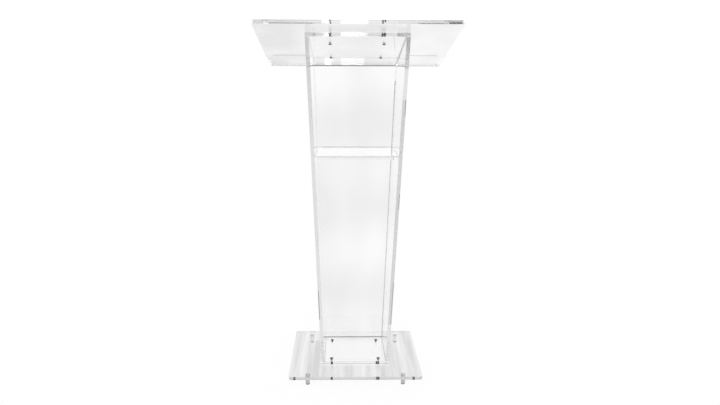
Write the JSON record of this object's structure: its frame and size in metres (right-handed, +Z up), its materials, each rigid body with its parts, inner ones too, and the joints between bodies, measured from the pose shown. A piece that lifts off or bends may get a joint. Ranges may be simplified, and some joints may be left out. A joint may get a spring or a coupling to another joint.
{
  "type": "presentation lectern",
  "caption": "Free-standing clear sheet lectern: tilted reading surface with a book lip on a tapered three-sided column with a shelf, screwed to a wide base plate on short feet.",
  "frame": {"origin": "on the floor, under the centre of the base plate", "axes": "+Z up; +X across the width; +Y towards the speaker's side, where the book lip is; -Y is the column's open side"},
  "size_m": [0.61, 0.3988, 1.196],
  "materials": {
    "clear_sheet": "clear, polished",
    "clear_rod": "clear, polished",
    "screw_steel": "satin"
  },
  "bodies": {
    "root": {"base_plate": "clear_sheet", "foot_front_left": "clear_rod", "foot_front_right": "clear_rod", "foot_back_left": "clear_rod", "foot_back_right": "clear_rod", "foot_plate": "clear_sheet", "side_panel_left": "clear_sheet", "side_panel_right": "clear_sheet", "back_panel": "clear_sheet", "shelf": "clear_sheet", "base_screw_front_left": "screw_steel", "base_screw_front_right": "screw_steel", "base_screw_back_left": "screw_steel", "base_screw_back_right": "screw_steel", "reading_surface": "clear_sheet", "book_lip": "clear_sheet", "column_cap": "clear_sheet", "cap_screw_front_left": "screw_steel", "cap_screw_front_right": "screw_steel", "cap_screw_back_left": "screw_steel", "cap_screw_back_right": "screw_steel"}
  },
  "joints": []
}
